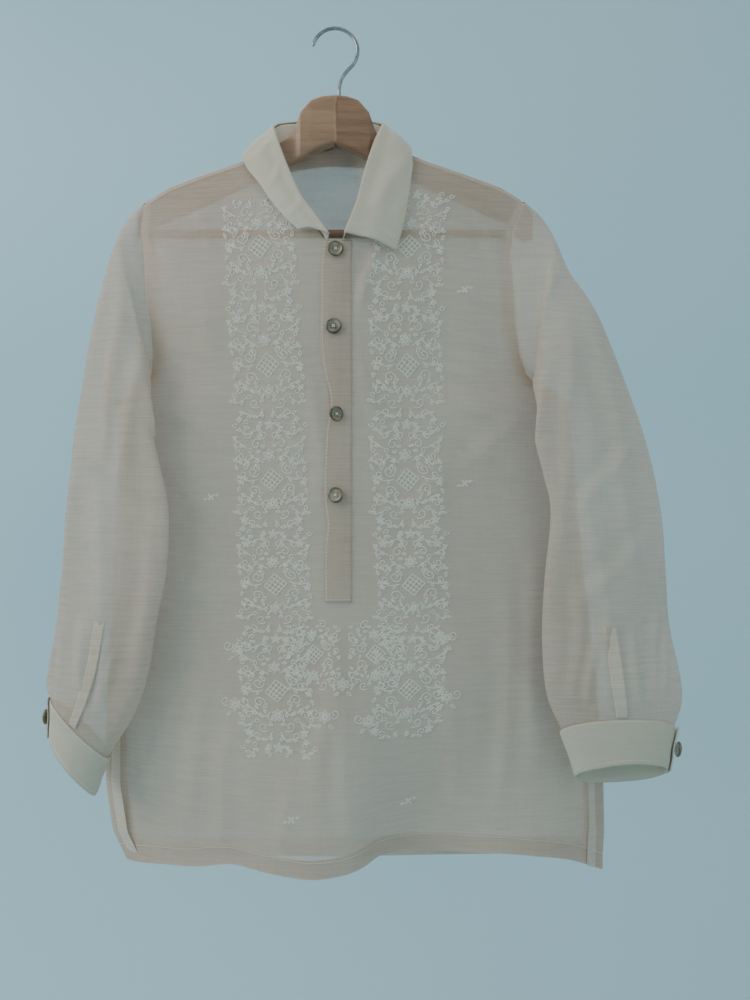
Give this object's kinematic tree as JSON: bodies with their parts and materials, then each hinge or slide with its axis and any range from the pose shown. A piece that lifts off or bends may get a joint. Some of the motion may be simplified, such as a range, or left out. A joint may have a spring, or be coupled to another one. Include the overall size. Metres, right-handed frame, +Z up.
{
  "type": "barong tagalog shirt on a wooden hanger",
  "caption": "Sheer long-sleeved barong shirt with two embroidered bands, a turned-down collar and a half-length placket, hung on a mitred wooden hanger with bar and hook.",
  "frame": {"origin": "inside top of the hanger's hook, where it rests on a rail or nail", "axes": "+X to the viewer's right across the shoulders, +Y from the front of the shirt to its back, +Z up along the hook's pull"},
  "size_m": [0.6571, 0.0934, 0.8969],
  "materials": {
    "sheer_cloth": "sheer plain weave with fine slubs across",
    "double_cloth": "two layers of the sheer weave",
    "collar_cloth": "lined, crisp and faintly lustrous",
    "horn": "mottled horn look, polished",
    "beech": "clear satin varnish",
    "steel": "nickel plated wire"
  },
  "bodies": {
    "root": {"front_panel": "sheer_cloth", "back_panel": "sheer_cloth", "shoulder_seam_left": "sheer_cloth", "shoulder_seam_right": "sheer_cloth", "placket_overlap": "double_cloth", "placket_underlap": "double_cloth", "front_hem": "sheer_cloth", "back_hem": "sheer_cloth", "vent_facing_front_left": "sheer_cloth", "vent_facing_front_right": "sheer_cloth", "vent_facing_back_left": "sheer_cloth", "vent_facing_back_right": "sheer_cloth", "collar_fall": "collar_cloth", "collar_stand": "collar_cloth", "sleeve_left": "sheer_cloth", "sleeve_right": "sheer_cloth", "sleeve_lap_left": "sheer_cloth", "sleeve_lap_right": "sheer_cloth", "cuff_left": "collar_cloth", "cuff_right": "collar_cloth", "button_front_1": "horn", "button_front_2": "horn", "button_front_3": "horn", "button_front_4": "horn", "button_cuff_left": "horn", "button_cuff_right": "horn", "hanger_half_left": "beech", "hanger_half_right": "beech", "hanger_bar": "beech", "hanger_hook": "steel"}
  },
  "joints": []
}
